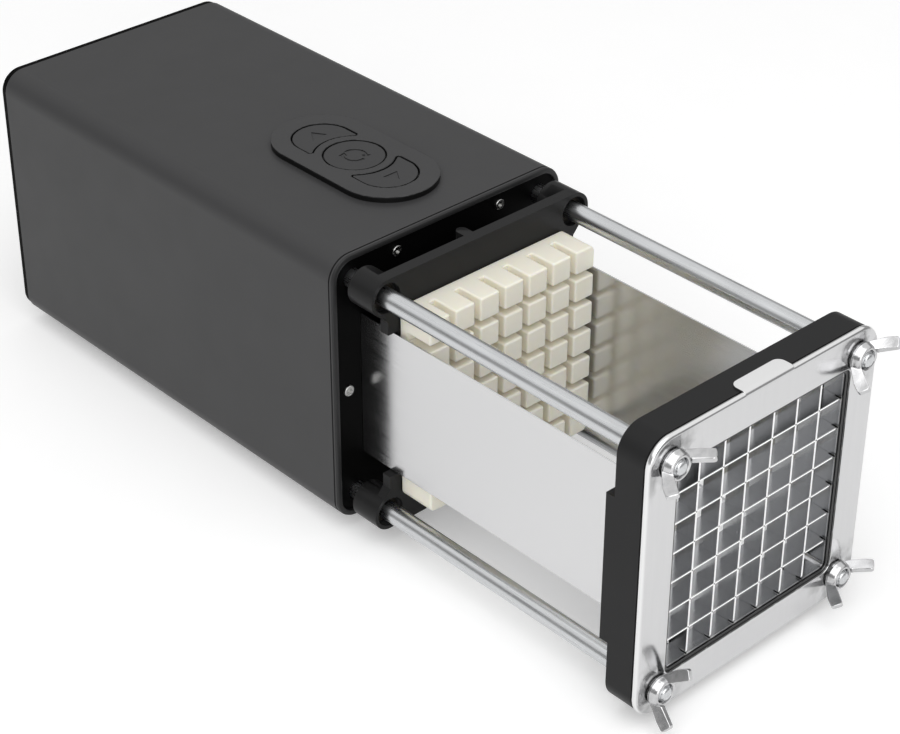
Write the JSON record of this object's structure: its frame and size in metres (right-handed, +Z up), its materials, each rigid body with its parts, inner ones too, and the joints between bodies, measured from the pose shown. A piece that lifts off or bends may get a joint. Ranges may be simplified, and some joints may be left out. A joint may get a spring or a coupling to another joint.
{
  "type": "french fry cutter",
  "caption": "Horizontal electric french fry cutter: black motor housing with press buttons, guide rods, steel trough, ivory finger pusher and a square blade grid held by wing nuts.",
  "frame": {"origin": "centre of the footprint on the table, under the feet", "axes": "+Z up, -Y the way the fries come out, +Y toward the motor housing, +X to the right seen from the blades"},
  "size_m": [0.1249, 0.4035, 0.1301],
  "materials": {
    "housing_plastic": "satin moulded",
    "cover_black": "fine matt",
    "frame_plastic": "satin moulded",
    "carriage_plastic": "satin moulded",
    "cover_steel": "polished sheet",
    "blade_steel": "ground",
    "trough_steel": "polished sheet",
    "rod_steel": "drawn bar",
    "wing_chrome": "plated casting",
    "ivory_plastic": "satin moulded",
    "button_plastic": "soft touch",
    "bush_bronze": "turned",
    "gear_steel": "machined",
    "screw_steel": "zinc plated",
    "plate_steel": "rolled plate",
    "tray_steel": "galvanised sheet",
    "deck_aluminium": "machined",
    "motor_can": "satin",
    "rubber": "moulded",
    "board_green": "solder mask",
    "part_black": "moulded",
    "part_blue": "moulded",
    "part_tan": "wound and potted parts"
  },
  "bodies": {
    "machine": {"blade_box": "blade_steel", "blades_upright": "blade_steel", "blades_level": "blade_steel", "cover_plate": "cover_steel", "front_frame": "frame_plastic", "front_feet": "rubber", "rod_top_left": "rod_steel", "rod_top_right": "rod_steel", "rod_bottom_left": "rod_steel", "rod_bottom_right": "rod_steel", "rod_nuts": "screw_steel", "trough_wall_left": "trough_steel", "trough_wall_right": "trough_steel", "trough_floor": "trough_steel", "housing_sleeve": "housing_plastic", "back_cover": "cover_black", "back_screws": "screw_steel", "front_plate": "cover_black", "plate_screws": "screw_steel", "mount_plate": "plate_steel", "chassis_tray": "tray_steel", "housing_feet": "rubber", "foot_screws": "screw_steel", "button_pad": "housing_plastic", "control_board": "board_green", "tact_switches": "part_black", "board_parts": "part_tan", "bearings": "gear_steel", "bearing_cup": "deck_aluminium", "drive_deck": "deck_aluminium", "deck_posts": "screw_steel", "deck_bolts": "screw_steel", "gear_motor": "motor_can", "switch_rail": "tray_steel", "limit_switches": "part_blue", "machine_screws": "screw_steel", "power_board": "board_green", "power_posts": "screw_steel", "power_parts": "part_tan", "power_inlet": "part_black", "inlet_pins": "bush_bronze"},
    "pusher": {"carriage": "carriage_plastic", "slide_bushes": "bush_bronze", "push_block": "ivory_plastic", "block_screws": "screw_steel", "drive_screw": "gear_steel", "cross_pin": "screw_steel", "striker": "part_black"},
    "drive_nut_set": {"drive_nut": "bush_bronze", "nut_gear": "gear_steel"},
    "motor_rotor": {"motor_shaft": "screw_steel", "motor_pinion": "bush_bronze"},
    "back_button": {"button_back": "button_plastic"},
    "forward_button": {"button_forward": "button_plastic"},
    "stop_button": {"button_stop": "button_plastic"},
    "wing_top_left": {"wing_nut_top_left": "wing_chrome"},
    "wing_top_right": {"wing_nut_top_right": "wing_chrome"},
    "wing_bottom_right": {"wing_nut_bottom_right": "wing_chrome"},
    "wing_bottom_left": {"wing_nut_bottom_left": "wing_chrome"}
  },
  "joints": [
    {"name": "push_slide", "type": "slide", "parent": "machine", "child": "pusher", "axis": [0, -1, 0], "range_m": [0, 0.124]},
    {"name": "nut_spin", "type": "hinge", "parent": "machine", "child": "drive_nut_set", "pos_m": [0, 0.00475, 0.0665], "axis": [0, 1, 0], "range_deg": [0, 3720]},
    {"name": "motor_spin", "type": "hinge", "parent": "machine", "child": "motor_rotor", "pos_m": [-0.02546, 0.00475, 0.04104], "axis": [0, 1, 0], "range_deg": [-11160, 0]},
    {"name": "back_press", "type": "slide", "parent": "machine", "child": "back_button", "axis": [0, 0, -1], "range_m": [0, 0.001], "stiffness_N_per_m": 400, "springref_m": -0.0005},
    {"name": "forward_press", "type": "slide", "parent": "machine", "child": "forward_button", "axis": [0, 0, -1], "range_m": [0, 0.001], "stiffness_N_per_m": 400, "springref_m": -0.0005},
    {"name": "stop_press", "type": "slide", "parent": "machine", "child": "stop_button", "axis": [0, 0, -1], "range_m": [0, 0.001], "stiffness_N_per_m": 400, "springref_m": -0.0005},
    {"name": "wing_top_left_turn", "type": "hinge", "parent": "machine", "child": "wing_top_left", "pos_m": [-0.05, -0.19225, 0.1165], "axis": [0, -1, 0], "continuous": true},
    {"name": "wing_top_right_turn", "type": "hinge", "parent": "machine", "child": "wing_top_right", "pos_m": [0.05, -0.19225, 0.1165], "axis": [0, -1, 0], "continuous": true},
    {"name": "wing_bottom_right_turn", "type": "hinge", "parent": "machine", "child": "wing_bottom_right", "pos_m": [0.05, -0.19225, 0.0165], "axis": [0, -1, 0], "continuous": true},
    {"name": "wing_bottom_left_turn", "type": "hinge", "parent": "machine", "child": "wing_bottom_left", "pos_m": [-0.05, -0.19225, 0.0165], "axis": [0, -1, 0], "continuous": true}
  ],
  "couplings": [
    {"joint": "nut_spin", "follows": "push_slide", "rad_per_m": 523.6},
    {"joint": "motor_spin", "follows": "push_slide", "rad_per_m": -1570.8}
  ]
}
